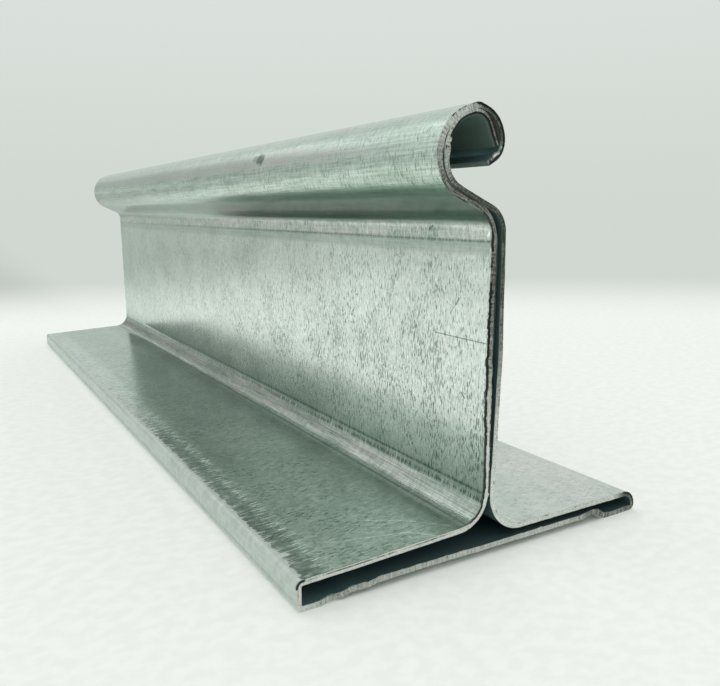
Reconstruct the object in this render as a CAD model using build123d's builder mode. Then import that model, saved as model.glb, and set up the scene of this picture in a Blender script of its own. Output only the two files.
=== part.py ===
import os
from math import cos, radians, sin, tan

from build123d import *

# Overall size in mm
bar_length = 210.0
flange_width = 60.0
bar_height = 61.0

# Sheet, and the small gap left where its two plies lie together
sheet = 0.7
ply_gap = 0.15

# Flange, a flat folded tube, a little taller on the left
left_edge_height = 4.1
left_rise_angle = 2.2
right_edge_height = 3.4
fold_radius = 0.55
nose_flat = 0.05

# Raised middle of the sole, with a foot along each side
sole_raise = 0.9
sole_ramp = 2.2
left_foot_width = 5.5
right_foot_width = 6.5
sole_bend_radius = 2.5

# Root bends, where the flange turns up into the web
left_root_radius = 4.55
right_root_radius = 5.55

# Web, the left ply straight and the right ply bowed out
web_x = -0.8
bow = 1.1
bow_height = 27.5
bow_radius = 30.0

# Jog, from the web over to the side of the curl
jog_depth = 13.6
jog_angle = 25.0
jog_lower_radius = 2.75

# Curl along the top, a low roof with its ridge nearer the right side
curl_reach = 8.55
curl_width = 9.9
ridge_set = 6.05
ridge_radius = 1.2
left_roof_angle = 19.0
right_roof_angle = 22.0
right_roof_flat = 1.0
left_shoulder_radius = 6.0
jog_flat = 0.05

# Gaps between the plies on the left of the curl and under its crown
flank_gap = 0.4
crown_gap = 0.05

# Lip of the outer ply, and the end of the inner ply above it
lip_depth = 7.05
lip_reach = 2.3
lip_angle = 30.0
lip_flat = 0.1
inner_ridge_set = 1.0
inner_ridge_radius = 2.2
inner_end_depth = 4.9
inner_end_gap = 0.25

# Middle line of the sheet in the flange
half = sheet / 2
pitch = sheet + ply_gap
edge_x = flange_width / 2 - half
left_top_z = left_edge_height - half
right_top_z = right_edge_height - half
nose_radius = right_top_z - half - fold_radius - nose_flat
left_root_z = left_top_z + tan(radians(left_rise_angle)) * (edge_x + web_x)
left_ramp_x = left_foot_width - edge_x
right_ramp_x = edge_x - right_foot_width
sole_z = half + sole_raise

# Roof of the curl, from the ridge down to its two shoulders
crown_z = bar_height - half
curl_left_x = web_x - curl_reach
curl_right_x = curl_left_x + curl_width
ridge_x = curl_left_x + ridge_set
left_roof = radians(left_roof_angle)
right_roof = radians(right_roof_angle)
left_roof_slope = tan(left_roof)
right_roof_slope = tan(right_roof)
roof_lean = (cos(left_roof) - cos(right_roof)) / (sin(left_roof) + sin(right_roof))
ridge_z = crown_z + ridge_radius * (1 / (cos(left_roof) - roof_lean * sin(left_roof)) - 1)
left_shoulder_z = ridge_z - left_roof_slope * ridge_set
right_shoulder_z = ridge_z - right_roof_slope * (curl_right_x - ridge_x)
left_shoulder_cut = left_shoulder_radius * tan(radians(90 - left_roof_angle) / 2)
ridge_cut = ridge_radius * tan((left_roof + right_roof) / 2)
right_shoulder_cut = (curl_right_x - ridge_x) / cos(right_roof) - ridge_cut - right_roof_flat
right_shoulder_radius = right_shoulder_cut / tan(radians(90 - right_roof_angle) / 2)

# Middle line of the two plies in the web and the jog
right_web_x = web_x + pitch
bowed_x = right_web_x + bow
jog_slope = tan(radians(jog_angle))
jog_start_z = crown_z - jog_depth
jog_end_z = jog_start_z + jog_slope * curl_reach
jog_wall = left_shoulder_z - left_shoulder_cut - jog_end_z - jog_flat
jog_upper_radius = jog_wall / tan(radians(90 - jog_angle) / 2)
ply_lift = pitch / cos(radians(jog_angle))
flank_pitch = sheet + flank_gap
inner_jog_start_z = jog_start_z + ply_lift - jog_slope * (bowed_x - web_x)
inner_jog_end_z = jog_end_z + ply_lift - jog_slope * flank_pitch

# Middle line of the lip, and of the inner ply in the curl
lip_slope = tan(radians(lip_angle))
lip_end_x = curl_right_x - lip_reach
lip_end_z = crown_z - lip_depth
lip_corner_z = lip_end_z + lip_slope * lip_reach
lip_half_turn = radians(90 - lip_angle) / 2
lip_wall = right_shoulder_z - right_shoulder_cut - lip_corner_z - lip_flat
lip_run = lip_reach / cos(radians(lip_angle)) - lip_flat
lip_radius = min(lip_wall, lip_run) / tan(lip_half_turn)
inner_left_x = curl_left_x + flank_pitch
inner_roof_drop = (sheet + crown_gap) / cos(left_roof)
inner_shoulder_z = left_shoulder_z + left_roof_slope * flank_pitch - inner_roof_drop
inner_ridge_x = ridge_x + inner_ridge_set
inner_ridge_z = ridge_z + left_roof_slope * inner_ridge_set - inner_roof_drop
inner_end_x = curl_right_x - sheet - inner_end_gap
inner_end_z = crown_z - inner_end_depth

with BuildPart() as t_bar:
    with BuildSketch(Plane.XZ) as section:
        # One strip, from the lip of the curl round to its inner end
        with BuildLine() as strip:
            FilletPolyline(
                (lip_end_x, lip_end_z),
                (curl_right_x, lip_corner_z),
                (curl_right_x, right_shoulder_z),
                (ridge_x, ridge_z),
                (curl_left_x, left_shoulder_z),
                (curl_left_x, jog_end_z),
                (web_x, jog_start_z),
                (web_x, left_root_z),
                (-edge_x, left_top_z),
                (-edge_x, half),
                (left_ramp_x, half),
                (left_ramp_x + sole_ramp, sole_z),
                (right_ramp_x - sole_ramp, sole_z),
                (right_ramp_x, half),
                (edge_x, half),
                (edge_x, right_top_z),
                (right_web_x, right_top_z),
                (bowed_x, bow_height),
                (bowed_x, inner_jog_start_z),
                (inner_left_x, inner_jog_end_z),
                (inner_left_x, inner_shoulder_z),
                (inner_ridge_x, inner_ridge_z),
                (inner_end_x, inner_end_z),
                radius=(
                    lip_radius,
                    right_shoulder_radius,
                    ridge_radius,
                    left_shoulder_radius,
                    jog_upper_radius,
                    jog_lower_radius,
                    left_root_radius,
                    fold_radius,
                    fold_radius,
                    sole_bend_radius,
                    sole_bend_radius,
                    sole_bend_radius,
                    sole_bend_radius,
                    fold_radius,
                    nose_radius,
                    right_root_radius,
                    bow_radius,
                    jog_lower_radius + pitch,
                    jog_upper_radius - flank_pitch,
                    left_shoulder_radius - flank_pitch,
                    inner_ridge_radius,
                ),
            )
        trace(line_width=sheet)
    extrude(amount=bar_length / 2, both=True)

t_bar.part.label = "t_bar"

os.makedirs("parts", exist_ok=True)
export_step(t_bar.part, "parts/t_bar.step")
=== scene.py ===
from math import atan2, ceil, cos, radians, sin, tan

import bpy
import numpy as np
from mathutils import Matrix, Vector


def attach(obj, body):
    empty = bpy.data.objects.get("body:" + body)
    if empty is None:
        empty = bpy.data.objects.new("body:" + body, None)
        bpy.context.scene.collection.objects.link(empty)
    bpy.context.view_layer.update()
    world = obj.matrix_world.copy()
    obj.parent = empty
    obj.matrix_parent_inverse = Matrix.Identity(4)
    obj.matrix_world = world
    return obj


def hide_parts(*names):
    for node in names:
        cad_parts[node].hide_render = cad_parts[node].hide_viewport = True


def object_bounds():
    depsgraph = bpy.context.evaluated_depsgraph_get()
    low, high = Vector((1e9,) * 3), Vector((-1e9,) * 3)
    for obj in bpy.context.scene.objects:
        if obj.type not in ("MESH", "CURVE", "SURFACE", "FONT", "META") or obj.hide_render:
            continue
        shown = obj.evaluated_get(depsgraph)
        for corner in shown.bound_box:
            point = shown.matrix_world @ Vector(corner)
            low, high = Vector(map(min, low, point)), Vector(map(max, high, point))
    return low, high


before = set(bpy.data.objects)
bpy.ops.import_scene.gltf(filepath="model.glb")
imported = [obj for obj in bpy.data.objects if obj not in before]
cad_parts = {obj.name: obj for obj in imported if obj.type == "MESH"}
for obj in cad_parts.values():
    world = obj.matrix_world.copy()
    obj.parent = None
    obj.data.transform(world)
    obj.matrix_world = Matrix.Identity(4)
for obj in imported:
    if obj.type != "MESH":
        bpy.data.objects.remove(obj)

cad_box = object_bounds()
scene = bpy.context.scene
MM = 0.001
TINY = 1e-6

# Overall size in mm, from the frame
flange_width, bar_length, bar_height = [round((high - low) / MM, 1) for low, high in zip(*cad_box)]
half_length = bar_length / 2

# Section of the bar in mm, with the same values as the solid
sheet = 0.7
ply_gap = 0.15
left_edge_height = 4.1
left_rise_angle = 2.2
right_edge_height = 3.4
fold_radius = 0.55
nose_flat = 0.05
sole_raise = 0.9
sole_ramp = 2.2
left_foot_width = 5.5
right_foot_width = 6.5
sole_bend_radius = 2.5
left_root_radius = 4.55
right_root_radius = 5.55
web_x = -0.8
bow = 1.1
bow_height = 27.5
bow_radius = 30.0
jog_depth = 13.6
jog_angle = 25.0
jog_lower_radius = 2.75
curl_reach = 8.55
curl_width = 9.9
ridge_set = 6.05
ridge_radius = 1.2
left_roof_angle = 19.0
right_roof_angle = 22.0
right_roof_flat = 1.0
left_shoulder_radius = 6.0
jog_flat = 0.05
flank_gap = 0.4
crown_gap = 0.05
lip_depth = 7.05
lip_reach = 2.3
lip_angle = 30.0
lip_flat = 0.1
inner_ridge_set = 1.0
inner_ridge_radius = 2.2
inner_end_depth = 4.9
inner_end_gap = 0.25

# Middle line of the sheet, worked out as in the solid
half = sheet / 2
pitch = sheet + ply_gap
edge_x = flange_width / 2 - half
left_top_z = left_edge_height - half
right_top_z = right_edge_height - half
nose_radius = right_top_z - half - fold_radius - nose_flat
left_root_z = left_top_z + tan(radians(left_rise_angle)) * (edge_x + web_x)
left_ramp_x = left_foot_width - edge_x
right_ramp_x = edge_x - right_foot_width
sole_z = half + sole_raise
crown_z = bar_height - half
curl_left_x = web_x - curl_reach
curl_right_x = curl_left_x + curl_width
ridge_x = curl_left_x + ridge_set
left_roof = radians(left_roof_angle)
right_roof = radians(right_roof_angle)
left_roof_slope = tan(left_roof)
right_roof_slope = tan(right_roof)
roof_lean = (cos(left_roof) - cos(right_roof)) / (sin(left_roof) + sin(right_roof))
ridge_z = crown_z + ridge_radius * (1 / (cos(left_roof) - roof_lean * sin(left_roof)) - 1)
left_shoulder_z = ridge_z - left_roof_slope * ridge_set
right_shoulder_z = ridge_z - right_roof_slope * (curl_right_x - ridge_x)
left_shoulder_cut = left_shoulder_radius * tan(radians(90 - left_roof_angle) / 2)
ridge_cut = ridge_radius * tan((left_roof + right_roof) / 2)
right_shoulder_cut = (curl_right_x - ridge_x) / cos(right_roof) - ridge_cut - right_roof_flat
right_shoulder_radius = right_shoulder_cut / tan(radians(90 - right_roof_angle) / 2)
right_web_x = web_x + pitch
bowed_x = right_web_x + bow
jog_slope = tan(radians(jog_angle))
jog_start_z = crown_z - jog_depth
jog_end_z = jog_start_z + jog_slope * curl_reach
jog_wall = left_shoulder_z - left_shoulder_cut - jog_end_z - jog_flat
jog_upper_radius = jog_wall / tan(radians(90 - jog_angle) / 2)
ply_lift = pitch / cos(radians(jog_angle))
flank_pitch = sheet + flank_gap
inner_jog_start_z = jog_start_z + ply_lift - jog_slope * (bowed_x - web_x)
inner_jog_end_z = jog_end_z + ply_lift - jog_slope * flank_pitch
lip_slope = tan(radians(lip_angle))
lip_end_x = curl_right_x - lip_reach
lip_end_z = crown_z - lip_depth
lip_corner_z = lip_end_z + lip_slope * lip_reach
lip_half_turn = radians(90 - lip_angle) / 2
lip_wall = right_shoulder_z - right_shoulder_cut - lip_corner_z - lip_flat
lip_run = lip_reach / cos(radians(lip_angle)) - lip_flat
lip_radius = min(lip_wall, lip_run) / tan(lip_half_turn)
inner_left_x = curl_left_x + flank_pitch
inner_roof_drop = (sheet + crown_gap) / cos(left_roof)
inner_shoulder_z = left_shoulder_z + left_roof_slope * flank_pitch - inner_roof_drop
inner_ridge_x = ridge_x + inner_ridge_set
inner_ridge_z = ridge_z + left_roof_slope * inner_ridge_set - inner_roof_drop
inner_end_x = curl_right_x - sheet - inner_end_gap
inner_end_z = crown_z - inner_end_depth

# Corners of the strip from the lip round to its inner end, each with its bend radius
corners = [
    ("lip_end", lip_end_x, lip_end_z, 0),
    ("lip", curl_right_x, lip_corner_z, lip_radius),
    ("right_shoulder", curl_right_x, right_shoulder_z, right_shoulder_radius),
    ("ridge", ridge_x, ridge_z, ridge_radius),
    ("left_shoulder", curl_left_x, left_shoulder_z, left_shoulder_radius),
    ("jog_top", curl_left_x, jog_end_z, jog_upper_radius),
    ("jog_foot", web_x, jog_start_z, jog_lower_radius),
    ("left_root", web_x, left_root_z, left_root_radius),
    ("left_fold_top", -edge_x, left_top_z, fold_radius),
    ("left_fold_foot", -edge_x, half, fold_radius),
    ("left_ramp", left_ramp_x, half, sole_bend_radius),
    ("left_rise", left_ramp_x + sole_ramp, sole_z, sole_bend_radius),
    ("right_rise", right_ramp_x - sole_ramp, sole_z, sole_bend_radius),
    ("right_ramp", right_ramp_x, half, sole_bend_radius),
    ("right_fold_foot", edge_x, half, fold_radius),
    ("right_fold_top", edge_x, right_top_z, nose_radius),
    ("right_root", right_web_x, right_top_z, right_root_radius),
    ("bow", bowed_x, bow_height, bow_radius),
    ("inner_jog_foot", bowed_x, inner_jog_start_z, jog_lower_radius + pitch),
    ("inner_jog_top", inner_left_x, inner_jog_end_z, jog_upper_radius - flank_pitch),
    ("inner_shoulder", inner_left_x, inner_shoulder_z, left_shoulder_radius - flank_pitch),
    ("inner_ridge", inner_ridge_x, inner_ridge_z, inner_ridge_radius),
    ("inner_end", inner_end_x, inner_end_z, 0),
]

# Longest steps along the strip, in mm on flats and bends, and the largest turn of one step
FLAT_STEP = 0.2
ARC_STEP = 0.17
ARC_TURN = radians(5)


def follow_strip():
    """Points, unit tangents and lengths along the strip, and where each bend starts and ends."""
    place = np.array([corner[1:3] for corner in corners], float)
    ways = np.diff(place, axis=0)
    ways /= np.linalg.norm(ways, axis=1)[:, None]
    here = place[0]
    points, tangents, spans = [here], [ways[0]], {}
    length = 0.0
    for k in range(1, len(corners)):
        name, radius = corners[k][0], corners[k][3]
        before = ways[k - 1]
        after = ways[min(k, len(ways) - 1)]
        turn = atan2(before[0] * after[1] - before[1] * after[0], before @ after)
        cut = radius * tan(abs(turn) / 2)
        start = place[k] - before * cut
        run = np.linalg.norm(start - here)
        steps = max(1, ceil(run / FLAT_STEP))
        for i in range(1, steps + 1):
            points.append(here + (start - here) * i / steps)
            tangents.append(before)
        length += run
        arc = radius * abs(turn)
        spans[name] = (length, length + arc)
        if arc:
            side = np.sign(turn)
            middle = start + side * radius * np.array([-before[1], before[0]])
            steps = max(2, ceil(arc / ARC_STEP), ceil(abs(turn) / ARC_TURN))
            for i in range(1, steps + 1):
                angle = turn * i / steps
                swing = np.array([[cos(angle), -sin(angle)], [sin(angle), cos(angle)]])
                points.append(middle + swing @ (start - middle))
                tangents.append(swing @ before)
        length += arc
        here = points[-1]
    points = np.array(points)
    gaps = np.linalg.norm(np.diff(points, axis=0), axis=1)
    along = np.concatenate([[0], np.cumsum(gaps)])
    return points, np.array(tangents), along * length / along[-1], spans


line, tangent, along, bend = follow_strip()
outward = np.stack([tangent[:, 1], -tangent[:, 0]], axis=1)
count = len(along)
strip_end = along[-1]


def height_after(name):
    """Height of the strip where a bend ends."""
    return line[np.searchsorted(along, bend[name][1] - TINY), 1]


def web_at(z):
    """Length along the strip at a height on the left ply of the web."""
    return bend["jog_foot"][1] + (height_after("jog_foot") - z)


def right_web_at(z):
    """Length along the strip at a height on the right ply of the web."""
    return bend["bow"][1] + (z - height_after("bow"))


def sole_at(x):
    """Length along the strip at a place across the sole."""
    sole = (along > bend["left_fold_foot"][0]) & (along < bend["right_fold_foot"][1])
    return float(np.interp(x, line[sole, 0], along[sole]))


def flange_at(x):
    """Length along the strip at a place across the left side of the flange."""
    top = (along >= bend["left_root"][1]) & (along <= bend["left_fold_top"][0])
    return float(np.interp(x, line[top, 0][::-1], along[top][::-1]))


def part_way(name, share):
    """Length along the strip at a share of the way round a bend."""
    first, last = bend[name]
    return first + (last - first) * share


# Random values: how many are drawn, the first one used, and the steps and heights along a sawn edge
KNOTS = 4096
FIRST_KNOT = 1000
SAW_STEPS = ((1.3, 0.5), (0.55, 0.3), (0.3, 0.3))


def held(values):
    """The values, kept from 0 to 1."""
    return np.clip(values, 0, 1)


def eased(share):
    """A share from 0 to 1, with a soft start and end."""
    return share * share * (3 - 2 * share)


def ripple(step, seed):
    """Smooth random values from -1 to 1 along the strip, with a knot every step."""
    draw = np.random.default_rng(seed).uniform(-1, 1, KNOTS)
    place = along / step + FIRST_KNOT
    knot = np.floor(place).astype(int)
    share = eased(place - knot)
    return draw[knot % KNOTS] * (1 - share) + draw[(knot + 1) % KNOTS] * share


def ragged(seed):
    """Coarse and fine random values together, as along a sawn edge."""
    return sum(height * ripple(step, seed + k) for k, (step, height) in enumerate(SAW_STEPS))


def hill(first, last, soft):
    """1 along the strip between two places, falling to 0 over the soft width."""
    up = eased(held((along - first) / soft + 0.5))
    down = eased(held((last - along) / soft + 0.5))
    return up * down


def by_stops(stops):
    """Values along the strip between named stops, one column for each value."""
    places, *columns = zip(*sorted(stops))
    return np.stack([np.interp(along, places, column) for column in columns], axis=1)


def lines_along(marks):
    """Soft lines along the bar, from the place, width and depth of each."""
    spread = np.zeros(count)
    for place, width, depth in marks:
        spread = np.maximum(spread, depth * np.exp(-(((along - place) / width) ** 2)))
    return spread


# Looks along the strip: spangle, lengthwise lines, brightness; the brightness is partly the zinc's own tone
# and partly painted reflection, darker over the jog and lighter on the curl's left flank
jog_middle = (bend["jog_top"][1] + bend["jog_foot"][0]) / 2
looks = by_stops([
    (0, 0.2, 0.6, 0.8),
    (bend["right_shoulder"][0], 0.2, 0.5, 0.9),
    (bend["ridge"][0], 0.35, 0.5, 0.9),
    (bend["left_shoulder"][0], 0.45, 0.5, 0.85),
    (part_way("left_shoulder", 0.45), 0.55, 0.6, 0.87),
    (part_way("left_shoulder", 0.85), 0.7, 0.9, 1.02),
    (part_way("jog_top", 0.3), 0.7, 1.0, 0.86),
    (part_way("jog_top", 0.55), 0.6, 0.8, 0.85),
    (part_way("jog_top", 0.75), 0.25, 0.6, 0.75),
    (bend["jog_top"][1], 0.2, 0.6, 0.48),
    (jog_middle, 0.15, 0.6, 0.39),
    (bend["jog_foot"][0], 0.1, 0.6, 0.52),
    (web_at(46.4), 0.1, 0.7, 0.55),
    (web_at(45.3), 0.7, 0.6, 0.9),
    (web_at(43.7), 0.7, 0.45, 0.88),
    (web_at(43.3), 0.15, 0.4, 0.8),
    (web_at(42.0), 0.15, 0.3, 0.82),
    (web_at(41.4), 0.8, 0.12, 1.0),
    (web_at(26), 0.95, 0.1, 1.12),
    (web_at(18), 1.0, 0.12, 1.14),
    (web_at(12), 1.0, 0.12, 1.0),
    (part_way("left_root", 0.12), 0.7, 0.4, 0.74),
    (part_way("left_root", 0.28), 0.2, 1.3, 0.82),
    (part_way("left_root", 0.74), 0.2, 1.3, 0.78),
    (part_way("left_root", 0.84), 0.3, 0.5, 0.55),
    (bend["left_root"][1], 0.3, 0.3, 0.58),
    (flange_at(-10), 0.5, 0.2, 0.74),
    (flange_at(-14), 0.75, 0.12, 0.72),
    (flange_at(-23), 0.75, 0.12, 0.75),
    (flange_at(-25), 0.9, 0.12, 0.92),
    (flange_at(-28.4), 0.9, 0.12, 0.92),
    (bend["left_fold_top"][1], 0.1, 0.5, 0.8),
    (bend["left_fold_foot"][1], 0.1, 0.7, 0.8),
    (bend["left_fold_foot"][1] + 2, 0.6, 0.5, 0.95),
    (bend["right_fold_foot"][0] - 2, 0.6, 0.5, 0.95),
    (bend["right_fold_foot"][0], 0.2, 0.7, 1.05),
    (bend["right_fold_top"][1], 0.2, 0.6, 1.0),
    (bend["right_fold_top"][1] + 2, 0.35, 0.2, 1.0),
    (bend["right_root"][0] - 4, 0.35, 0.2, 1.02),
    (part_way("right_root", 0.4), 0.2, 1.0, 1.0),
    (bend["right_root"][1], 0.5, 0.6, 1.0),
    (right_web_at(12.5), 1.0, 0.15, 1.0),
    (right_web_at(40.5), 1.0, 0.15, 1.05),
    (right_web_at(42.5), 0.3, 0.7, 1.0),
    (bend["inner_jog_top"][0], 0.3, 0.8, 1.0),
    (bend["inner_jog_top"][1], 0.3, 0.8, 0.9),
    (strip_end, 0.3, 0.8, 0.9),
])

# Finish along the strip: dark combed scuffs, pale rubbed zinc, warm stain
finish = by_stops([
    (0, 0, 0, 0.2),
    (part_way("jog_top", 0.6), 0, 0, 0),
    (web_at(46.6), 0, 0, 0.3),
    (web_at(46), 0, 0, 1.0),
    (web_at(43.8), 0, 0, 0.6),
    (web_at(43), 0, 0, 0),
    (part_way("left_root", 0.2), 0, 0, 0),
    (part_way("left_root", 0.3), 0, 0, 1.0),
    (part_way("left_root", 0.68), 0, 0, 0.7),
    (part_way("left_root", 0.82), 0, 0, 0),
    (flange_at(-24.2), 0, 0, 0),
    (flange_at(-25.6), 0.5, 0, 0),
    (bend["left_fold_top"][0] - 2.0, 1.0, 0, 0),
    (bend["left_fold_top"][0] + 0.2, 0.6, 1.0, 0),
    (bend["left_fold_foot"][0], 0, 1.0, 0),
    (bend["left_fold_foot"][1], 0, 0.6, 0),
    (bend["left_fold_foot"][1] + 2, 0, 0, 0),
    (bend["right_fold_foot"][0], 0, 0, 0),
    (bend["right_fold_top"][1], 0, 0, 0.6),
    (part_way("right_root", 0.2), 0, 0, 0.6),
    (part_way("right_root", 0.8), 0, 0, 0.8),
    (bend["right_root"][1] + 2, 0, 0, 0),
    (strip_end, 0, 0, 0.2),
])

# Dark lines that the rollers left along the bar
roll_marks = lines_along((
    (web_at(43.5), 0.2, 0.8),
    (part_way("left_root", 0.02), 0.2, 1.0),
    (part_way("left_root", 0.18), 0.46, 1.0),
    (part_way("jog_top", 0.7), 0.35, 0.35),
    (part_way("right_root", 0.5), 0.25, 0.6),
    (right_web_at(12), 0.35, 0.7),
))

# Inside of the curl: painted shade, on a duller and rougher surface
HOLLOW_SHADE_FADE = 3.0
hollow_shade = held((along - part_way("inner_jog_top", 0.4)) / HOLLOW_SHADE_FADE)

# Sawn face: tone from pale to dark brown, scoring across it, streaks along it
sawn = {}
sawn["near"] = by_stops([
    (0, 0.8, 0.9, 0.0),
    (1.1, 0.7, 0.9, 0.0),
    (1.25, 0.0, 0.1, 0.0),
    (1.75, 0.0, 0.1, 0.0),
    (1.9, 0.6, 1.0, 0.0),
    (bend["lip"][1], 0.75, 0.6, 0.0),
    (bend["right_shoulder"][0], 0.95, 0.3, 0.2),
    (bend["right_shoulder"][1], 0.9, 0.3, 0.2),
    (bend["ridge"][0], 0.78, 0.4, 0.0),
    (bend["ridge"][1], 0.42, 0.8, 0.0),
    (bend["left_shoulder"][0], 0.32, 1.0, 0.0),
    (part_way("left_shoulder", 0.55), 0.32, 1.0, 0.0),
    (part_way("left_shoulder", 0.85), 0.5, 0.7, 0.5),
    (part_way("jog_top", 0.3), 0.72, 0.4, 1.0),
    (part_way("jog_top", 0.75), 0.8, 0.3, 1.0),
    (bend["jog_foot"][0], 0.82, 0.3, 1.0),
    (bend["jog_foot"][1], 0.7, 0.4, 0.5),
    (web_at(40), 0.86, 0.5, 0.5),
    (web_at(34), 0.78, 0.5, 0.5),
    (web_at(28), 0.7, 0.5, 0.4),
    (web_at(23), 0.35, 0.4, 0.3),
    (web_at(16), 0.15, 0.3, 0.3),
    (bend["left_root"][1], 0.08, 0.25, 0.3),
    (bend["left_fold_foot"][1], 0.12, 0.3, 0.2),
    (sole_at(-24), 0.5, 0.6, 0.0),
    (sole_at(-16), 0.35, 0.5, 0.0),
    (sole_at(12), 0.25, 0.5, 0.0),
    (sole_at(18), 0.4, 0.6, 0.0),
    (sole_at(20), 0.75, 0.9, 0.0),
    (sole_at(24), 0.7, 0.9, 0.0),
    (sole_at(26), 0.6, 0.8, 0.0),
    (bend["right_fold_foot"][1], 0.8, 0.5, 0.0),
    (bend["right_fold_top"][1], 0.9, 0.4, 0.0),
    (bend["right_fold_top"][1] + 2.5, 0.2, 0.3, 0.2),
    (bend["right_root"][0], 0.08, 0.25, 0.3),
    (bend["right_root"][1], 0.1, 0.3, 0.3),
    (right_web_at(18), 0.2, 0.4, 0.3),
    (right_web_at(26), 0.6, 0.3, 0.5),
    (right_web_at(36), 0.9, 0.25, 0.5),
    (bend["inner_jog_foot"][0], 0.95, 0.15, 0.5),
    (bend["inner_jog_top"][0], 0.93, 0.12, 0.5),
    (part_way("inner_jog_top", 0.5), 0.7, 0.4, 0.6),
    (bend["inner_jog_top"][1], 0.48, 0.4, 0.4),
    (part_way("inner_shoulder", 0.2), 0.42, 1.0, 0.0),
    (part_way("inner_shoulder", 0.9), 0.3, 1.0, 0.0),
    (part_way("inner_ridge", 0.2), 0.45, 0.8, 0.0),
    (part_way("inner_ridge", 0.6), 0.8, 0.4, 0.3),
    (bend["inner_ridge"][1], 0.92, 0.3, 0.6),
    (strip_end, 0.62, 0.4, 1.0),
])
sawn["far"] = np.stack([
    0.3 + 0.2 * ripple(12, 71),
    0.5 + 0.2 * ripple(7, 72),
    0.3 + 0.3 * ripple(9, 73),
], axis=1)

# Burrs at the two ends: how far the sheet flares on its outside and its inside, in mm
LEAST_BURR = 0.012
TAPER = 1.6
burr_out, burr_in, dark_rim = {}, {}, {}
teeth = held(ragged(11) + 0.15)
web_edge = hill(web_at(38), part_way("left_root", 0.8), 4)
dotted = hill(web_at(44), web_at(34), 2)
sole_edge = hill(bend["left_fold_foot"][1], bend["right_fold_foot"][0], 1)
torn = hill(sole_at(-27), sole_at(-17), 2) + 0.5 * hill(sole_at(18.5), sole_at(24), 2)
thinned = hill(part_way("inner_shoulder", 0.7), strip_end + 2, 2)
nicked = hill(part_way("inner_jog_top", 0.95), part_way("inner_shoulder", 0.3), 0.6)
smeared = hill(bend["ridge"][0], part_way("left_shoulder", 0.9), 2)
smeared += hill(bend["inner_shoulder"][0], part_way("inner_ridge", 0.4), 2)
pressed = hill(part_way("left_shoulder", 0.8), bend["jog_foot"][0], 2)
pressed += hill(bend["inner_jog_foot"][1], bend["inner_shoulder"][0], 2)
web_smear = hill(web_at(44), web_at(14), 6)
closed = hill(web_at(12.4), part_way("left_root", 0.04), 1.2)
closed += hill(right_web_at(8.8), right_web_at(12.4), 1.2)
lip_chip = hill(1.1, 1.9, 0.5)
taper = held((along - strip_end + TAPER) / TAPER)
burr_out["near"] = (
    LEAST_BURR + 0.02 * np.abs(ragged(21))
    + web_edge * (0.2 + 0.46 * teeth)
    + dotted * 0.4 * held(ragged(24))
    + sole_edge * 0.02 * teeth
    + nicked * 0.2 * ragged(37)
    - thinned * 0.2
    - 0.1 * taper
)
burr_in["near"] = (
    LEAST_BURR + 0.03 * np.abs(ragged(31))
    + sole_edge * (0.04 + 0.2 * held(ragged(33)))
    + torn * (0.12 + 0.6 * held(ragged(35)))
    + lip_chip * 0.35
    + smeared * 0.06
    + pressed * (0.15 + 0.06 * ragged(39))
    + web_smear * (0.22 + 0.1 * ragged(38))
    + closed * 0.25
)
burr_out["far"] = LEAST_BURR + 0.05 * held(ragged(51))
burr_in["far"] = LEAST_BURR + 0.06 * held(ragged(53))

# Dark rim along the two edges of the cut: partly the rough burr that the saw left, partly painted shade on
# its shadowed side
rim_noise = ragged(41)
dark_rim["near"] = held(
    web_edge * held(1.15 + 0.7 * rim_noise)
    + dotted * held(0.5 + 2.6 * rim_noise)
    + hill(part_way("inner_shoulder", 0.3), strip_end + 2, 1) * 0.8
    + hill(bend["jog_foot"][0], web_at(43.5), 1) * 0.6
    + hill(0, bend["ridge"][1], 1) * held(1.0 + 0.6 * rim_noise)
    + hill(bend["ridge"][1], part_way("jog_top", 0.3), 1) * held(0.45 + 0.9 * rim_noise)
    + hill(bend["left_fold_top"][0] - 0.4, bend["left_fold_top"][1] + 0.2, 0.5) * 0.9
    + hill(bend["right_fold_foot"][1], bend["right_fold_top"][1], 1)
    + hill(bend["right_fold_top"][1], bend["bow"][0], 2) * held(0.3 + 0.3 * rim_noise)
)
dark_rim["far"] = held(0.2 + 0.6 * ragged(55))

# Rings along the bar, close together near the sawn ends, and the share of the burr on the first ones
END_RINGS = (0.0, 0.07, 0.16, 0.32, 0.65, 1.3, 2.6, 5.0, 9.0, 16.0)
MIDDLE_RINGS = 5
FLARE = (1.0, 0.6, 0.18)
near_rings = [-half_length + d for d in END_RINGS]
far_rings = [half_length - d for d in reversed(END_RINGS)]
gap_rings = np.linspace(near_rings[-1], far_rings[0], MIDDLE_RINGS + 2)[1:-1]
rings = np.array(near_rings + list(gap_rings) + far_rings)
ring_count = len(rings)
ring_end = ["near" if j < ring_count / 2 else "far" for j in range(ring_count)]

# Low waves of the rollers: step along the strip and height in mm, and rows along the bar
WAVES = ((9, 0.016), (5, 0.008), (22, 0.018))
WAVE_ROWS = 14


def wave(seed):
    """Unevenness over the sheet, in mm."""
    spread = np.zeros((count, ring_count))
    for k, (step, height) in enumerate(WAVES):
        rows = [ripple(step, seed + 10 * k + r) for r in range(WAVE_ROWS)]
        place = (rings + half_length) / bar_length * (WAVE_ROWS - 2)
        for j, p in enumerate(place):
            low = int(p)
            share = eased(p - low)
            spread[:, j] += height * (rows[low] * (1 - share) + rows[low + 1] * share)
    return spread


# Edges that the saw bent, in mm: how far along the bar, and how far the web is pushed
BENT_REACH = 2.6
WEB_PUSH = 0.4


def near_end(y):
    """1 at the near sawn end, falling to 0 within a few mm of it."""
    return np.exp(-(((y + half_length) / BENT_REACH) ** 2))


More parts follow.
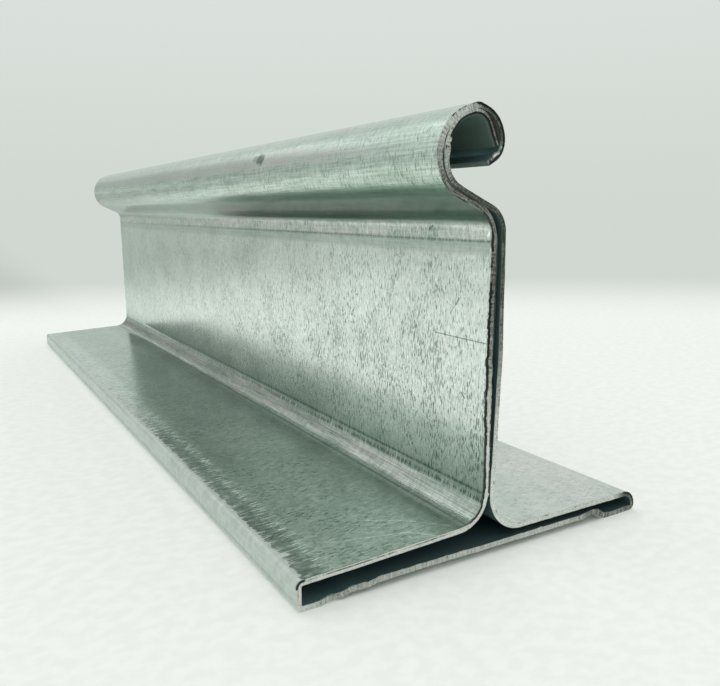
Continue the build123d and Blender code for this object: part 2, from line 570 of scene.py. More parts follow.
def bent_up_edge(y):
    """Lift in mm of the sole's sawn edge, where the saw dragged it."""
    hump = 0.3 * hill(sole_at(19.6), sole_at(22.6), 2.0)
    hump += 0.28 * hill(sole_at(-26.2), sole_at(-23.8), 1.8)
    hump -= 0.3 * hill(sole_at(-22.2), sole_at(-19.0), 1.8)
    nose = 0.08 * hill(sole_at(26.5), part_way("right_fold_foot", 0.6), 1.6)
    return (hump + nose) * near_end(y)


def pushed_in_web(y):
    """Shift in mm of the web's sawn edge towards its right ply, near the top."""
    slope = held((along - web_at(28.0)) / (web_at(43.0) - web_at(28.0)))
    upper_web = (along > bend["jog_foot"][0]) * hill(bend["jog_foot"][1], web_at(20.0), 3)
    return WEB_PUSH * slope * upper_web * near_end(y)


# The waves fade out where the sheet comes close to the box of the solid
WAVE_MARGIN = 0.05
WAVE_FADE = 0.6
unevenness = wave(81)
edge_room = np.minimum.reduce([
    flange_width / 2 - np.abs(line[:, 0]) - half,
    line[:, 1] - half,
    bar_height - line[:, 1] - half,
])
unevenness *= held((edge_room - WAVE_MARGIN) / WAVE_FADE)[:, None]

# The two surfaces of the sheet, ring by ring
outer = np.zeros((count, ring_count, 3))
inner = np.zeros((count, ring_count, 3))
for j, (y, end) in enumerate(zip(rings, ring_end)):
    from_end = min(j, ring_count - 1 - j)
    flare = FLARE[from_end] if from_end < len(FLARE) else 0.0
    shift = unevenness[:, j]
    for face, way, burr in ((outer, 1, burr_out[end]), (inner, -1, burr_in[end])):
        reach = way * (half + flare * burr) + shift
        face[:, j, 0] = line[:, 0] + outward[:, 0] * reach + pushed_in_web(y)
        face[:, j, 2] = line[:, 1] + outward[:, 1] * reach + bent_up_edge(y)
        face[:, j, 1] = y

# Sawn ends, rough across the thickness and set back from the full length, in mm
CAP_SHARES = (0.0, 0.14, 0.32, 0.58, 0.84, 1.0)
SET_BACK = 0.16
SAW_ROUGHNESS = 0.05
SAW_WAVE = 0.03
SAW_WAVE_STEP = 4
NICK_ROWS = 6
RING_GAP = 0.04
saw_wave = SAW_WAVE * ripple(SAW_WAVE_STEP, 140)
caps = {}
for end, side, j, seed in (("near", -1, 0, 100), ("far", 1, ring_count - 1, 150)):
    columns = []
    for k, share in enumerate(CAP_SHARES):
        spot = outer[:, j] * (1 - share) + inner[:, j] * share
        depth = SET_BACK + SAW_ROUGHNESS * ragged(seed + 7 * k) + saw_wave
        if k == 0:
            depth = depth - 0.5 * burr_out[end]
        if k == len(CAP_SHARES) - 1:
            depth = depth - 0.4 * burr_in[end]
        spot[:, 1] = side * (half_length - np.clip(depth, 0.0, None))
        columns.append(spot)
    outer[:, j] = columns[0]
    inner[:, j] = columns[-1]
    caps[end] = np.stack(columns[1:-1], axis=1)
    # The next rings keep their order behind a deep nick
    for face in (outer, inner):
        for n in range(1, NICK_ROWS):
            row = j - side * n
            limit = side * face[:, row + side, 1] - RING_GAP
            face[:, row, 1] = side * np.minimum(side * face[:, row, 1], limit)

# Nothing leaves the box of the solid
low_corner, high_corner = np.array(cad_box) / MM
blocks = (outer, inner, caps["near"], caps["far"])
for block in blocks:
    np.clip(block, low_corner, high_corner, out=block)

# One closed mesh of the whole sheet
SHARP_ANGLE = radians(42)
inner_shares = len(CAP_SHARES) - 2
outer_ids = np.arange(count * ring_count).reshape(count, ring_count)
inner_ids = outer_ids + count * ring_count
near_ids = 2 * count * ring_count + np.arange(count * inner_shares).reshape(count, inner_shares)
far_ids = near_ids + count * inner_shares
spots = np.concatenate([block.reshape(-1, 3) for block in blocks])
near_cap = np.concatenate([outer_ids[:, :1], near_ids, inner_ids[:, :1]], axis=1)
far_cap = np.concatenate([outer_ids[:, -1:], far_ids, inner_ids[:, -1:]], axis=1)


def quads(ids, flip):
    """Four-sided faces over a grid of vertex numbers."""
    a, b, c, d = ids[:-1, :-1], ids[1:, :-1], ids[1:, 1:], ids[:-1, 1:]
    order = (a, d, c, b) if flip else (a, b, c, d)
    return np.stack([o.reshape(-1) for o in order], axis=1).tolist()


def strip_edge(row, flip):
    """Narrow faces along one long edge of the strip, between its two surfaces."""
    faces = []
    for j in range(ring_count - 1):
        face = [outer_ids[row, j], inner_ids[row, j], inner_ids[row, j + 1], outer_ids[row, j + 1]]
        if j == 0:
            face = [face[0], *near_ids[row], face[1], face[2], face[3]]
        if j == ring_count - 2:
            face = [face[0], face[1], face[2], *far_ids[row][::-1], face[3]]
        face = [int(v) for v in face]
        faces.append(face[::-1] if flip else face)
    return faces


sheet_faces = quads(outer_ids, True) + quads(inner_ids, False)
sheet_faces += strip_edge(0, False) + strip_edge(count - 1, True)
cut_faces = quads(near_cap, False) + quads(far_cap, True)
mesh = bpy.data.meshes.new("t_bar_sheet")
mesh.from_pydata((spots * MM).tolist(), [], sheet_faces + cut_faces)
mesh.polygons.foreach_set("use_smooth", np.ones(len(mesh.polygons), bool))
slots = np.array([0] * len(sheet_faces) + [1] * len(cut_faces), np.int32)
mesh.polygons.foreach_set("material_index", slots)
mesh.set_sharp_from_angle(angle=SHARP_ANGLE)
mesh.update()


def add(name, data):
    """A new object in the scene."""
    thing = bpy.data.objects.new(name, data)
    scene.collection.objects.link(thing)
    return thing


def keep(name, outer_value, inner_value, near_value, far_value):
    """Stores three values at each vertex for the materials to read."""
    values = (outer_value, inner_value, near_value, far_value)
    parts = [np.asarray(v, np.float32).reshape(-1, 3) for v in values]
    layer = mesh.attributes.new(name, "FLOAT_VECTOR", "POINT")
    layer.data.foreach_set("vector", np.concatenate(parts).reshape(-1))


def over_rings(values):
    """Values along the strip, repeated on every ring."""
    return np.repeat(np.asarray(values, float)[:, None], ring_count, axis=1)


def over_cap(values):
    """Values along the strip, repeated across the thickness."""
    return np.repeat(np.asarray(values, float)[:, None], inner_shares, axis=1)


# Place on the sheet: along the strip, along the bar, across the thickness
INNER_SHIFT = 400
ring_y = np.repeat(rings[None, :], count, axis=0)
cap_across = np.repeat(np.array(CAP_SHARES[1:-1])[None, :] * sheet, count, axis=0)
keep(
    "sheet_map",
    np.stack([over_rings(along), ring_y, np.zeros_like(ring_y)], axis=2),
    np.stack([over_rings(along) + INNER_SHIFT, ring_y, np.full_like(ring_y, sheet)], axis=2),
    np.stack([over_cap(along), np.full_like(cap_across, -half_length), cap_across], axis=2),
    np.stack([over_cap(along), np.full_like(cap_across, half_length), cap_across], axis=2),
)

# Looks and finish, with the inner surface plain but for the level of its painted shade, lifted near the
# near end as painted light, and its warm stain
inner_shade_level = by_stops([
    (0, 0.9),
    (part_way("lip", 0.15), 1.0),
    (part_way("lip", 0.35), 2.8),
    (bend["right_shoulder"][0], 2.6),
    (bend["ridge"][0], 1.0),
    (bend["left_root"][1], 0.6),
    (flange_at(-20), 0.65),
    (bend["left_fold_top"][0], 1.0),
    (bend["left_fold_foot"][1], 1.0),
    (sole_at(-20), 0.6),
    (sole_at(20), 0.6),
    (bend["right_root"][0], 0.8),
    (strip_end, 0.8),
])
inner_looks = np.concatenate([np.zeros((count, 2)), inner_shade_level], axis=1)
keep("looks", over_rings(looks), over_rings(inner_looks), over_cap(looks), over_cap(looks))
inner_finish = np.zeros_like(finish)
inner_finish[:, 2] = hill(bend["lip"][1], part_way("ridge", 0.5), 1)
keep("finish", over_rings(finish), over_rings(inner_finish), over_cap(finish), over_cap(finish))

# Marks: roller lines, dark rims next to the cuts (partly burr, partly painted shade), painted shade in the
# shut gaps next to the cuts, and painted shade inside the curl
RIM_ON_SHEET = (1.0, 1.0, 0.6, 0.15)
RIM_ON_CUT = np.array([1.0, 1.0, 0.2, 0.0])
CURL_RIM_LESS = np.array([0.0, 0.75, 0.2, 0.0])


def at_ends(near_values, far_values):
    """Values on the rings next to the two cuts, fading away from them."""
    spread = np.zeros((count, ring_count))
    for j, strength in enumerate(RIM_ON_SHEET):
        spread[:, j] = strength * near_values
        spread[:, ring_count - 1 - j] = strength * far_values
    return spread


curl_rim = over_cap(hill(bend["ridge"][1], part_way("jog_top", 0.6), 1))
near_rim = held(over_cap(dark_rim["near"]) * RIM_ON_CUT - curl_rim * CURL_RIM_LESS)
far_rim = over_cap(dark_rim["far"]) * RIM_ON_CUT
rim_rings = at_ends(dark_rim["near"], dark_rim["far"])
nothing = np.zeros(count)
wedge = hill(bend["lip"][1], bend["ridge"][0], 1)
wedge += hill(part_way("inner_ridge", 0.6), strip_end + 2, 1)
# Painted shade on the inner faces next to the cuts, where the plies close together
shut_gap_shade = held(pressed + web_smear + closed + 0.8 * wedge) * (1 - smeared)
keep(
    "marks",
    np.stack([over_rings(roll_marks), rim_rings, over_rings(hollow_shade)], axis=2),
    np.stack([over_rings(nothing), at_ends(shut_gap_shade, shut_gap_shade), over_rings(nothing + 1)], axis=2),
    np.stack([over_cap(roll_marks), near_rim, over_cap(nothing)], axis=2),
    np.stack([over_cap(roll_marks), far_rim, over_cap(nothing)], axis=2),
)
cut_rings = np.stack([sawn[end] for end in ring_end], axis=1)
keep("sawn", cut_rings, cut_rings, over_cap(sawn["near"]), over_cap(sawn["far"]))

# Along the strip: painted shade that darkens the jog's near half, painted light that brightens the flange
# towards the near end, mottling, and a dark line in the cut
shade_and_wear = by_stops([
    (0, 0, 0.4, 0.3),
    (part_way("jog_top", 0.6), 0, 0.5, 0),
    (bend["jog_foot"][0], 1.0, 0.3, 0),
    (web_at(46.4), 1.0, 0.3, 0),
    (web_at(45.4), 0, 1.3, 0),
    (web_at(43.7), 0, 1.0, 0),
    (web_at(43), 0, 0.3, 0),
    (web_at(16), 0, 0.5, 0),
    (bend["left_root"][1], 0, 0.8, 0.3),
    (flange_at(-10), -0.6, 1.2, 1.0),
    (flange_at(-24), -1.0, 1.2, 1.0),
    (flange_at(-27), 0, 1.2, 1.0),
    (bend["left_fold_top"][1], 0, 1.2, 1.0),
    (bend["left_fold_foot"][0], 0, 0.5, 0),
    (bend["right_fold_foot"][0], 0, 0.3, 0),
    (bend["right_root"][0], 0, 0.25, 0),
    (strip_end, 0, 0.5, 0),
])
FAR_LINE = 0.4
cut_line = np.zeros((count, inner_shares, 3))
cut_line[:, 1, 2] = shade_and_wear[:, 2] * held(0.6 + 0.9 * rim_noise)
sheet_shade_and_wear = shade_and_wear.copy()
# Dark lines on the sheet along the web's root and low on the left side, just above the floor
sheet_shade_and_wear[:, 2] = lines_along((
    (part_way("left_root", 0.82), 0.17, 1.0),
    (bend["left_fold_foot"][0] - 0.3, 0.18, 0.4),
))
keep("shade_and_wear", over_rings(sheet_shade_and_wear), over_rings(sheet_shade_and_wear), cut_line, cut_line * FAR_LINE)


class Nodes:
    """Short calls to put nodes in a tree."""

    def __init__(self, tree):
        self.nodes = tree.nodes
        self.links = tree.links
        self.nodes.clear()

    def put(self, socket, value):
        if isinstance(value, bpy.types.NodeSocket):
            self.links.new(value, socket)
        else:
            socket.default_value = value

    def fill(self, node, **values):
        """Puts values in the named inputs of a node."""
        for name, value in values.items():
            self.put(node.inputs[name], value)

    def math(self, kind, a, b):
        node = self.nodes.new("ShaderNodeMath")
        node.operation = kind
        self.put(node.inputs[0], a)
        self.put(node.inputs[1], b)
        return node.outputs[0]

    def times(self, a, b):
        return self.math("MULTIPLY", a, b)

    def plus(self, a, b):
        return self.math("ADD", a, b)

    def less(self, a, b):
        return self.math("SUBTRACT", a, b)

    def larger(self, a, b):
        return self.math("MAXIMUM", a, b)

    def raised(self, value, mask, height):
        """The value, higher by a height where the mask is."""
        return self.plus(value, self.times(mask, height))

    def dimmed(self, value, mask, depth):
        """The value, lower by a share of itself where the mask is."""
        return self.times(value, self.less(1.0, self.times(mask, depth)))

    def span(self, value, low, high, first=0.0, last=1.0):
        node = self.nodes.new("ShaderNodeMapRange")
        node.interpolation_type = "SMOOTHSTEP"
        for socket, number in zip(node.inputs, (value, low, high, first, last)):
            self.put(socket, number)
        return node.outputs[0]

    def attribute(self, name):
        node = self.nodes.new("ShaderNodeAttribute")
        node.attribute_name = name
        return node.outputs["Vector"]

    def split(self, vector):
        node = self.nodes.new("ShaderNodeSeparateXYZ")
        self.put(node.inputs[0], vector)
        return tuple(node.outputs)

    def vector(self, kind, a, b=(0.0, 0.0, 0.0), out="Vector"):
        node = self.nodes.new("ShaderNodeVectorMath")
        node.operation = kind
        self.put(node.inputs[0], a)
        self.put(node.inputs[1], b)
        return node.outputs[out]

    def scaled(self, vector, scale):
        return self.vector("MULTIPLY", vector, scale)

    def noise(self, vector, scale, detail=2.0, roughness=0.5, twist=0.0):
        """Noise from 0 to 1, with its own scale along each axis."""
        node = self.nodes.new("ShaderNodeTexNoise")
        spot = self.scaled(vector, scale)
        self.fill(node, Vector=spot, Scale=1.0, Detail=detail, Roughness=roughness, Distortion=twist)
        return node.outputs[0]

    def swing(self, vector, scale, detail=2.0, roughness=0.5):
        """Noise from -1 to 1."""
        return self.span(self.noise(vector, scale, detail, roughness), 0.3, 0.7, -1.0, 1.0)

    def stroke(self, spot, first, last, width):
        """1 on a line between two points of the sheet, falling to 0 over its width."""
        way = Vector(last) - Vector(first)
        start = self.vector("SUBTRACT", spot, first)
        share = self.times(self.vector("DOT_PRODUCT", start, tuple(way), "Value"), 1 / way.length_squared)
        share = self.math("MINIMUM", self.larger(share, 0.0), 1.0)
        off = self.vector("SUBTRACT", start, self.scaled(tuple(way), share))
        return self.span(self.vector("LENGTH", off, out="Value"), width, 0.3 * width)

    def blend(self, share, a, b, kind="MIX"):
        node = self.nodes.new("ShaderNodeMix")
        node.data_type = "RGBA"
        node.blend_type = kind
        self.put(node.inputs[0], share)
        self.put(node.inputs[6], a)
        self.put(node.inputs[7], b)
        return node.outputs[2]

    def bump(self, height, distance, strength):
        node = self.nodes.new("ShaderNodeBump")
        self.fill(node, Height=height, Distance=distance, Strength=strength)
        return node.outputs[0]

    def seen_ray(self):
        """1 for what the camera sees by itself, in metal or through glass."""
        rays = self.nodes.new("ShaderNodeLightPath")
        seen = self.larger(rays.outputs["Is Camera Ray"], rays.outputs["Is Glossy Ray"])
        return self.larger(seen, rays.outputs["Is Transmission Ray"])


def new_material(name):
    """A material with a bare Principled surface, and the calls for its tree."""
    material = bpy.data.materials.new(name)
    material.use_nodes = True
    tree = Nodes(material.node_tree)
    output = tree.nodes.new("ShaderNodeOutputMaterial")
    surface = tree.nodes.new("ShaderNodeBsdfPrincipled")
    tree.links.new(surface.outputs[0], output.inputs["Surface"])
    return material, tree, surface, output


# Scratches on the zinc, each from one place on the sheet to another, with its width in mm
def on_web(y, z):
    """Place on the sheet at a height of the web."""
    return (web_at(z), y, 0.0)


def on_flange(x, y):
    """Place on the sheet across the left side of the flange."""
    return (flange_at(x), y, 0.0)


DARK_STROKES = (
    (on_web(-93.1, 30.0), on_web(-104.4, 30.0), 0.12),
    (on_web(-98.6, 35.5), on_web(-98.0, 34.7), 0.24),
    (on_web(-98.0, 34.7), on_web(-96.6, 33.2), 0.1),
    (on_web(-99.5, 22.2), on_web(-100.1, 21.6), 0.25),
    (on_web(-92.3, 45.4), on_web(-91.5, 44.9), 0.3),
)
LIGHT_STROKES = (
    (on_flange(-14.45, -95.2), on_flange(-12.2, -96.7), 0.16),
    (on_flange(-12.2, -96.7), on_flange(-8.9, -99.4), 0.18),
    (on_flange(-8.9, -99.4), on_flange(-5.8, -103.3), 0.16),
    (on_flange(-21.8, -98.2), on_flange(-14.6, -100.5), 0.12),
    (on_flange(-14.6, -100.5), on_flange(-11.4, -101.7), 0.2),
    (on_flange(-11.4, -101.7), on_flange(-8.8, -105.0), 0.16),
    (on_web(-104.3, 44.6), on_web(-104.1, 44.2), 0.3),
    (on_web(-104.7, 42.6), on_web(-104.6, 42.3), 0.25),
)
CHIP = (on_flange(-28.8, -97.4), on_flange(-28.1, -97.8), 0.7)
curl_spot = part_way("left_shoulder", 0.62)
SMUDGE = ((curl_spot, -47.8, 0.0), (curl_spot + 0.2, -49.4, 0.0), 1.5)
SMUDGE_TAIL = ((curl_spot - 0.2, -45.4, 0.0), (curl_spot, -47.6, 0.0), 0.9)

# Colours of the metal, and how its relief is drawn
ZINC_LEVEL = 0.70
ZINC_ROUGHNESS = 0.2
GREEN_DARK = (0.74, 1.0, 0.83, 1.0)
GREEN_LIGHT = (0.925, 1.0, 0.95, 1.0)
WARM_TINT = (1.03, 1.0, 0.97, 1.0)
COOL_TINT = (0.93, 1.0, 0.965, 1.0)
# Painted shade colours for the hollows and the inner faces
HOLLOW_SHADE_OUTER = (0.11, 0.185, 0.165, 1.0)
HOLLOW_SHADE_INNER = (0.10, 0.176, 0.18, 1.0)
HOLLOW_SHADE_WARM = (0.17, 0.175, 0.125, 1.0)
# Dark of the rims and the shut gaps: partly burr, partly painted shade
ZINC_RIM_SHADE = (0.012, 0.017, 0.015, 1.0)
CUT_PALE = (0.755, 0.78, 0.735, 1.0)
CUT_DARK = (0.044, 0.055, 0.038, 1.0)
CUT_RIM_SHADE = (0.015, 0.02, 0.018, 1.0)
CUT_ROUGHNESS = 0.42
RELIEF_DEPTH = 0.00002
RELIEF_STRENGTH = 0.5

# Zinc coat, from the values at the vertices. Places along the bar are in mm, with -105 at the near end
zinc_material, zinc, surface, _ = new_material("zinc_coat")
place = zinc.attribute("sheet_map")
s_place, y_place, across = zinc.split(place)
spangle, drawn, tone_and_shade = zinc.split(zinc.attribute("looks"))
comb, pale, warm = zinc.split(zinc.attribute("finish"))
mark, rim_shade, shaded_inside = zinc.split(zinc.attribute("marks"))
painted_dim_and_lift, mottling, dark_line = zinc.split(zinc.attribute("shade_and_wear"))

# Spangle and blotches of the zinc, from noise with its scale along the strip and along the bar
spangle = zinc.times(spangle, zinc.span(y_place, 70.0, -70.0, 0.55, 1.0))
fibre = zinc.times(zinc.swing(place, (0.8, 3.4, 0), 3.0, 0.6), spangle)
cluster = zinc.swing(place, (0.13, 0.2, 0))
dash_noise = zinc.noise(place, (0.95, 4.2, 0), 2.0, 0.55, 0.6)
dash_noise = zinc.raised(dash_noise, cluster, -0.05)
dash_noise = zinc.plus(dash_noise, zinc.span(spangle, 0.8, 1.0, 0.0, -0.03))
dash = zinc.times(zinc.span(dash_noise, 0.44, 0.355), spangle)
fleck_noise = zinc.noise(place, (1.5, 3.0, 0), 2.0, 0.6)
fleck = zinc.times(zinc.span(fleck_noise, 0.54, 0.68), spangle)
lines = zinc.times(zinc.swing(place, (3.2, 0.1, 0), 3.0, 0.65), drawn)
patch = zinc.swing(place, (0.09, 0.05, 0), 3.0, 0.55)
mottle = zinc.swing(place, (0.45, 0.8, 0), 2.0, 0.6)
blotch = zinc.times(zinc.swing(place, (0.6, 1.1, 0), 4.0, 0.7), mottling)

# Roller lines, broken along the bar and fainter towards the far end
broken = zinc.span(zinc.noise(place, (0.35, 2.6, 0), 2.0, 0.6), 0.42, 0.54)
mark = zinc.times(mark, zinc.raised(0.35, broken, 0.65))
mark = zinc.times(mark, zinc.span(y_place, 60.0, -60.0, 0.5, 1.0))

# Combed scuffs and rubbed zinc along the left edge of the flange
comb = zinc.times(comb, zinc.span(y_place, -8.0, -45.0))
teeth_noise = zinc.noise(place, (0.5, 1.6, 0), 4.0, 0.7)
combed = zinc.span(zinc.raised(comb, zinc.less(teeth_noise, 0.5), 4.0), 0.35, 0.9)
edge_noise = zinc.noise(place, (0.8, 1.3, 0), 3.0, 0.65)
pale = zinc.plus(pale, zinc.span(y_place, -104.5, -97.0, -0.34, -0.2))
rubbed = zinc.span(zinc.raised(pale, zinc.less(edge_noise, 0.5), 0.9), 0.43, 0.57)
rubbed = zinc.larger(rubbed, zinc.stroke(place, *CHIP))
scuff_noise = zinc.noise(place, (0.42, 2.5, 0), 3.0, 0.65)
scuff_place = zinc.times(zinc.times(comb, zinc.less(1.05, comb)), 3.6)
scuff = zinc.times(zinc.span(scuff_noise, 0.52, 0.62), scuff_place)

# Brightness of the zinc: its layers, then what changes along the bar, with painted light and shade among
# them
value = ZINC_LEVEL
for layer, height in (
    (patch, 0.05),
    (fibre, 0.075),
    (mottle, 0.035),
    (blotch, 0.11),
    (fleck, 0.13),
    (lines, 0.13),
):
    value = zinc.raised(value, layer, height)
value = zinc.dimmed(value, dash, 0.6)
# Brightness along the strip: partly the zinc's own tone, partly painted reflection
value = zinc.times(value, tone_and_shade)
# Painted light: the spangled zinc a little lighter towards the near end and darker towards the far end
value = zinc.times(value, zinc.raised(1.0, spangle, zinc.span(y_place, -60.0, 60.0, 0.06, -0.06)))
# Painted highlight: a lighter band on the curl's left flank, stronger away from the near end
flank_highlight = zinc.span(s_place, part_way("left_shoulder", 0.3), part_way("left_shoulder", 0.58))
flank_highlight = zinc.times(flank_highlight, zinc.span(s_place, bend["left_shoulder"][1], part_way("left_shoulder", 0.75)))
value = zinc.times(value, zinc.raised(1.0, flank_highlight, zinc.span(y_place, -104.0, -60.0, 0.25, 0.8)))
value = zinc.dimmed(value, combed, 0.4)
# Painted shade: the jog darker over the near half and in a middle stretch; painted light: the flange
# lighter towards the near end
painted_shade = zinc.larger(painted_dim_and_lift, 0.0)
value = zinc.dimmed(value, zinc.times(painted_shade, zinc.span(y_place, 10.0, -30.0)), 0.4)
painted_shade_middle = zinc.times(zinc.span(y_place, -90.0, -68.0), zinc.span(y_place, 8.0, -18.0))
value = zinc.dimmed(value, zinc.times(painted_shade, painted_shade_middle), 0.36)
painted_light_near = zinc.times(zinc.larger(zinc.times(painted_dim_and_lift, -1.0), 0.0), zinc.span(y_place, -88.0, -105.0))
value = zinc.times(value, zinc.raised(1.0, painted_light_near, 0.22))
value = zinc.raised(value, scuff, 0.5)

# Rubbed zinc over it, then roller lines, scratches and the smudge on the curl
smooth = zinc.raised(zinc.span(y_place, -70.0, 40.0, 0.6, 0.62), lines, 0.07)
smooth = zinc.raised(smooth, zinc.swing(place, (0.5, 0.6, 0), 4.0, 0.7), 0.055)
value = zinc.plus(zinc.times(value, zinc.less(1.0, rubbed)), zinc.times(smooth, rubbed))
value = zinc.dimmed(value, mark, 0.8)
# Dark lines along the web's root and low on the left side
value = zinc.dimmed(value, dark_line, 0.6)
for stroke in DARK_STROKES:
    value = zinc.dimmed(value, zinc.stroke(place, *stroke), 0.55)
stroke_wear = zinc.span(mottle, -0.6, 0.2, 0.3, 1.0)
for stroke in LIGHT_STROKES:
    value = zinc.raised(value, zinc.times(zinc.stroke(place, *stroke), stroke_wear), 0.36)
smudge_tail = zinc.times(zinc.stroke(place, *SMUDGE_TAIL), 0.6)
value = zinc.dimmed(value, zinc.larger(zinc.stroke(place, *SMUDGE), smudge_tail), 0.72)

# Colour of the zinc: greener where dark, warmer on the stained bends, cooler on the curl and the flange
green = zinc.blend(zinc.span(value, 0.15, 0.75), GREEN_DARK, GREEN_LIGHT)
tint = zinc.blend(zinc.times(warm, zinc.span(patch, -0.6, 0.6, 0.1, 0.7)), green, WARM_TINT)
tone = zinc.blend(1.0, value, tint, "MULTIPLY")
cool = zinc.larger(zinc.span(s_place, web_at(45.5), web_at(46.5)), zinc.span(y_place, 10.0, 80.0, 0.0, 0.6))
on_top = zinc.span(s_place, bend["left_root"][1], flange_at(-9))
on_top = zinc.times(on_top, zinc.span(s_place, flange_at(-28), flange_at(-26)))
cool = zinc.larger(cool, zinc.times(on_top, 0.8))
tone = zinc.blend(cool, tone, COOL_TINT, "MULTIPLY")

# Painted shade of the hollows and of all inner faces, and the dark rim next to the cuts, partly burr and
# partly painted shade
painted_hollow_shade = zinc.blend(zinc.span(across, 0.2, 0.5), HOLLOW_SHADE_OUTER, HOLLOW_SHADE_INNER)
painted_hollow_shade = zinc.blend(warm, painted_hollow_shade, HOLLOW_SHADE_WARM)
# Painted light: where its level is above 1, the painted shade of the inner faces is lifted near the near
# end
deep_painted_light = zinc.times(zinc.larger(zinc.less(tone_and_shade, 1.0), 0.0), zinc.span(y_place, -104.6, -100.0))
inner_light = zinc.plus(zinc.math("MINIMUM", tone_and_shade, 1.0), deep_painted_light)
painted_hollow_shade = zinc.blend(1.0, painted_hollow_shade, inner_light, "MULTIPLY")
tone = zinc.blend(shaded_inside, tone, painted_hollow_shade)
tone = zinc.blend(zinc.times(rim_shade, 0.95), tone, ZINC_RIM_SHADE)
zinc.put(surface.inputs["Base Color"], tone)

# Metal, roughness and relief of the zinc
metal = zinc.less(zinc.less(1.0, zinc.times(shaded_inside, 0.9)), zinc.times(rubbed, 0.5))
zinc.put(surface.inputs["Metallic"], metal)
rough = ZINC_ROUGHNESS
for layer, height in (
    (dash, 0.12),
    (patch, 0.03),
    (combed, 0.1),
    (rubbed, 0.22),
    (scuff, 0.2),
    (shaded_inside, 0.3),
):
    rough = zinc.raised(rough, layer, height)
zinc.put(surface.inputs["Roughness"], rough)
relief = zinc.plus(zinc.times(dash, -0.6), zinc.times(lines, 0.35))
zinc.put(surface.inputs["Normal"], zinc.bump(relief, RELIEF_DEPTH, RELIEF_STRENGTH))

# Bare steel of the sawn ends
bare_material, bare, surface, _ = new_material("sawn_steel")
place = bare.attribute("sheet_map")
shade, score, streak = bare.split(bare.attribute("sawn"))
_, rim_shade, _ = bare.split(bare.attribute("marks"))
_, _, dark_line = bare.split(bare.attribute("shade_and_wear"))
scoring = bare.times(bare.swing(place, (3.4, 0, 0.5), 2.0, 0.6), score)
streaks = bare.times(bare.swing(place, (0.5, 0, 7.0), 2.0, 0.6), streak)
grain = bare.swing(place, (5.0, 0, 9.0), 2.0, 0.6)
speck = bare.span(bare.noise(place, (2.4, 0, 5.0), 1.0, 0.5), 0.38, 0.28)
level = shade
for layer, height in ((scoring, 0.36), (streaks, 0.25), (grain, 0.10), (speck, 0.4)):
    level = bare.raised(level, layer, height)
level = bare.math("MINIMUM", bare.larger(level, 0.0), 1.0)
tone = bare.blend(level, CUT_PALE, CUT_DARK)
# Dark rim along the cut's edges, partly burr and partly painted shade, and the dark line in the cut
edges = bare.larger(bare.span(rim_shade, 0.3, 0.7), dark_line)
tone = bare.blend(bare.times(edges, 0.97), tone, CUT_RIM_SHADE)
bare.put(surface.inputs["Base Color"], tone)
bare.put(surface.inputs["Metallic"], 1.0)
bare.put(surface.inputs["Roughness"], bare.raised(CUT_ROUGHNESS, grain, 0.08))
bare.put(surface.inputs["Normal"], bare.bump(bare.plus(scoring, grain), RELIEF_DEPTH, RELIEF_STRENGTH))

mesh.materials.append(zinc_material)
mesh.materials.append(bare_material)
bar = add("t_bar_sheet", mesh)
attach(bar, "root")
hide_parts("t_bar")

# Pale cloth-covered table, and the wall colour beyond its far edge, in metres
WALL_LOW = (0.638, 0.686, 0.638, 1.0)
WALL_HIGH = (0.71, 0.755, 0.72, 1.0)
TABLE = (0.875, 0.91, 0.865, 1.0)
TABLE_LOW = (0.84, 0.875, 0.83, 1.0)
DIM_FLOOR = (0.52, 0.56, 0.52, 1.0)
DIM_WALL = (0.32, 0.35, 0.325, 1.0)
DIM_WAY = (-sin(radians(16)), cos(radians(16)), 0.0)
DIM_REACH = (0.945, 0.992)
TABLE_CENTRE = (-0.36, -0.69, 0.0)
TABLE_EDGE = (0.9, 1.12)
FLOOR_RADIUS = 4.0
FLOOR_SIDES = 120
FLOOR_DROP = 0.00003
WEAVE_DEPTH = 0.0002
WEAVE_STRENGTH = 0.25


def dim_share(tree, way):
    """1 where a way from the bar points at the dim side of the room, falling to 0 beside it."""
    side = tree.vector("NORMALIZE", tree.scaled(way, (1.0, 1.0, 0.0)))
    return tree.span(tree.vector("DOT_PRODUCT", side, DIM_WAY, "Value"), *DIM_REACH)


floor_mesh = bpy.data.meshes.new("floor")
floor_rim = []
for k in range(FLOOR_SIDES):
    angle = radians(360 / FLOOR_SIDES * k)
    floor_rim.append((FLOOR_RADIUS * cos(angle), FLOOR_RADIUS * sin(angle), -FLOOR_DROP))
floor_mesh.from_pydata(floor_rim, [], [list(range(FLOOR_SIDES))])
floor = add("floor", floor_mesh)
floor_material, ground, surface, output = new_material("pale_floor")
spot = ground.nodes.new("ShaderNodeNewGeometry").outputs["Position"]
beyond = ground.span(ground.vector("DISTANCE", spot, TABLE_CENTRE, "Value"), *TABLE_EDGE)
far_cloth = ground.blend(dim_share(ground, spot), WALL_LOW, DIM_FLOOR)
dimple = ground.swing(spot, (420, 520, 1))
table_cloth = ground.blend(ground.span(dimple, -1.0, 1.0), TABLE_LOW, TABLE)
cloth = ground.blend(beyond, table_cloth, far_cloth)
ground.put(surface.inputs["Base Color"], cloth)
ground.put(surface.inputs["Roughness"], 0.9)
ground.put(surface.inputs["Specular IOR Level"], 0.1)
weave = ground.noise(spot, (700, 900, 1))
ground.put(surface.inputs["Normal"], ground.bump(weave, WEAVE_DEPTH, WEAVE_STRENGTH))

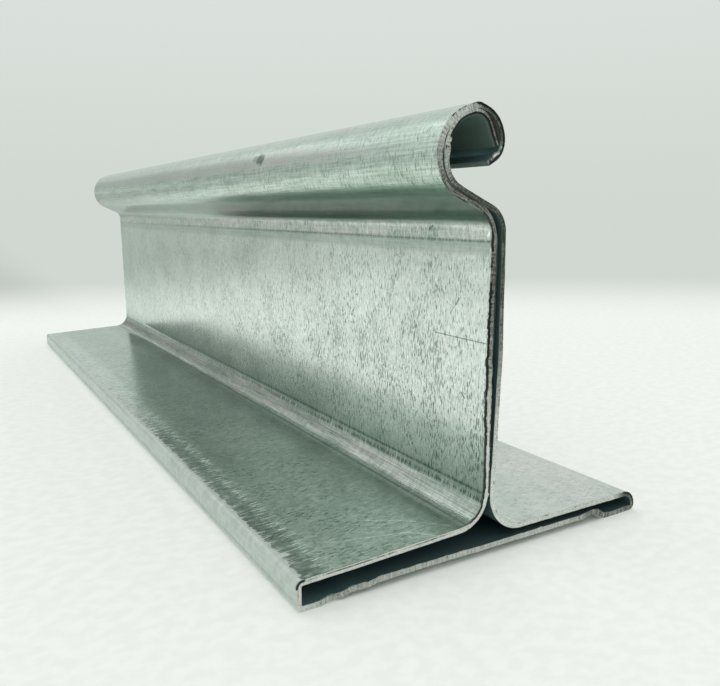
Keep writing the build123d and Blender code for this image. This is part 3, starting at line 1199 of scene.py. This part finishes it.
# The cloth glows where it is seen, fully beyond the table, and not at all under the raised sole
UNDER_LEFT = -0.024
UNDER_RIGHT = 0.023
UNDER_END = half_length * MM
UNDER_SOFT = 0.0005
spot_x, spot_y, _ = ground.split(spot)
under = 1.0
for place, low, high in ((spot_x, UNDER_LEFT, UNDER_RIGHT), (spot_y, -UNDER_END, UNDER_END)):
    under = ground.times(under, ground.span(place, low - UNDER_SOFT, low + UNDER_SOFT))
    under = ground.times(under, ground.span(place, high + UNDER_SOFT, high - UNDER_SOFT))
lift = ground.raised(0.3, beyond, 0.7)
lift = ground.times(ground.seen_ray(), ground.dimmed(lift, under, 1.0))
glow = ground.nodes.new("ShaderNodeEmission")
ground.put(glow.inputs["Color"], cloth)
floor_mix = ground.nodes.new("ShaderNodeMixShader")
for socket, value in zip(floor_mix.inputs, (lift, surface.outputs[0], glow.outputs[0])):
    ground.put(socket, value)
ground.put(output.inputs["Surface"], floor_mix.outputs[0])
floor_mesh.materials.append(floor_material)

# Soft light from the room, stronger from above, and the pale wall that the camera and the metal see
LIGHT_LOW = (0.5, 0.51, 0.5, 1.0)
LIGHT_HIGH = (0.95, 0.96, 0.95, 1.0)
world = bpy.data.worlds.new("studio")
scene.world = world
world.use_nodes = True
room = Nodes(world.node_tree)
world_out = room.nodes.new("ShaderNodeOutputWorld")
sky = room.nodes.new("ShaderNodeBackground")
room.put(world_out.inputs["Surface"], sky.outputs[0])
way = room.nodes.new("ShaderNodeTexCoord").outputs["Generated"]
_, _, way_up = room.split(way)
wall = room.blend(room.span(way_up, -0.02, 0.3), WALL_LOW, WALL_HIGH)
dim_band = room.times(room.span(way_up, 0.0, 0.12), room.span(way_up, 0.52, 0.3))
wall = room.blend(room.times(dim_share(room, way), dim_band), wall, DIM_WALL)
light = room.blend(room.span(way_up, 0.0, 0.6), LIGHT_LOW, LIGHT_HIGH)
room.put(sky.inputs["Color"], room.blend(room.seen_ray(), light, wall))

LAMP_PLACE = Vector((-0.25, 0.35, 1.2))
LAMP_SIZE = 1.2
LAMP_POWER = 3.4
lamp_data = bpy.data.lights.new("soft_lamp", "AREA")
lamp_data.shape = "SQUARE"
lamp_data.size = LAMP_SIZE
lamp_data.energy = LAMP_POWER
lamp = add("soft_lamp", lamp_data)
lamp.location = LAMP_PLACE
lamp.rotation_euler = LAMP_PLACE.to_track_quat("Z", "Y").to_euler()

# Camera as fitted to the photograph
CAMERA_PLACE = Vector((-0.06406, -0.17888, 0.04818))
CAMERA_LENS = 36.62
SENSOR_WIDTH = 36.0
NEAREST_SEEN = 0.01
YAW, PITCH, ROLL = radians(30.305), radians(10.452), radians(-0.516)
forward = Vector((sin(YAW) * cos(PITCH), cos(YAW) * cos(PITCH), -sin(PITCH)))
level_way = Vector((cos(YAW), -sin(YAW), 0))
upright = level_way.cross(forward)
right = cos(ROLL) * level_way + sin(ROLL) * upright
up = -sin(ROLL) * level_way + cos(ROLL) * upright
camera_data = bpy.data.cameras.new("camera")
camera_data.sensor_fit = "HORIZONTAL"
camera_data.sensor_width = SENSOR_WIDTH
camera_data.lens = CAMERA_LENS
camera_data.clip_start = NEAREST_SEEN
camera = add("camera", camera_data)
turned = Matrix((right, up, -forward)).transposed().to_4x4()
turned.translation = CAMERA_PLACE
camera.matrix_world = turned
scene.camera = camera
scene.view_settings.view_transform = "Standard"
